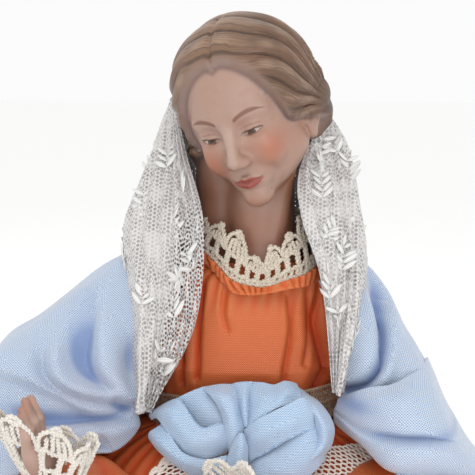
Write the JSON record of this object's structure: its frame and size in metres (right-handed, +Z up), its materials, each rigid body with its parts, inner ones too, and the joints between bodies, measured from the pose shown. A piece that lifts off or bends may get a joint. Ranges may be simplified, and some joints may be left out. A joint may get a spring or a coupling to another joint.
{
  "type": "dressed nativity figure",
  "caption": "Kneeling crib figure of a woman with a painted terracotta head and hands, real cloth dress, mantle, tulle veil and lace, on a low oval wooden base.",
  "frame": {"origin": "middle of the base's flat underside", "axes": "+Z up, the figure faces -Y and its own left hand side is +X"},
  "size_m": [0.184, 0.16, 0.1993],
  "materials": {
    "base_wood": "stained and waxed",
    "terracotta": "oil painted, satin",
    "dress_taffeta": "ribbed taffeta",
    "blue_cloth": "fine dotted weave",
    "tulle": "white net with embroidered leaves",
    "crochet_lace": "ecru cotton crochet",
    "apron_lace": "ecru bobbin lace",
    "belt_lace": "openwork ribbon"
  },
  "bodies": {
    "root": {"base": "base_wood", "head_and_neck": "terracotta", "hand_right": "terracotta", "hand_left": "terracotta", "bodice": "dress_taffeta", "skirt": "dress_taffeta", "sleeve_right": "dress_taffeta", "sleeve_left": "dress_taffeta", "belt": "belt_lace", "sash": "blue_cloth", "collar": "crochet_lace", "cuff_right": "crochet_lace", "cuff_left": "crochet_lace", "apron": "apron_lace", "mantle": "blue_cloth", "veil": "tulle"}
  },
  "joints": []
}
